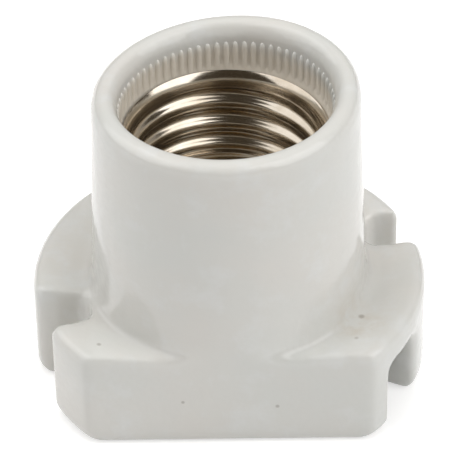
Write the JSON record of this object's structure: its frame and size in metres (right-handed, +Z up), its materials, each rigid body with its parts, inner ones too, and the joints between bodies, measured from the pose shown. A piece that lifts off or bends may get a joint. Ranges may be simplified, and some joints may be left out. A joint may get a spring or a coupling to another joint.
{
  "type": "lamp holder",
  "caption": "Skirted porcelain screw lamp holder with a round barrel, fluted mouth, threaded metal shell, flat-sided slotted base and a sprung centre contact.",
  "frame": {"origin": "on the base plane, under the lamp's axis", "axes": "+Z up along the lamp's axis, out of the mouth; -Y towards the skirt's front flat; +X along the skirt's length"},
  "size_m": [0.054, 0.0376, 0.046],
  "materials": {
    "porcelain": "white glaze, slightly warm",
    "plated_shell": "bright nickel plate on brass, slightly warm",
    "brass": "plain brass",
    "steel": "zinc plated"
  },
  "bodies": {
    "holder": {"porcelain_body": "porcelain", "screw_shell": "plated_shell", "shell_screws": "steel", "shell_nuts": "steel", "live_terminal": "brass", "neutral_terminal": "brass", "clamp_washers": "brass", "terminal_screws": "steel", "contact_sleeve": "brass", "sleeve_lock_washer": "steel", "sleeve_nut": "brass", "contact_spring": "steel"},
    "contact": {"contact_plunger": "brass", "plunger_clip": "steel"}
  },
  "joints": [
    {"name": "contact_slide", "type": "slide", "parent": "holder", "child": "contact", "axis": [0, 0, 1], "range_m": [-0.0025, 0], "stiffness_N_per_m": 1500, "springref_m": 0.0015, "deforming": ["contact_spring"]}
  ]
}
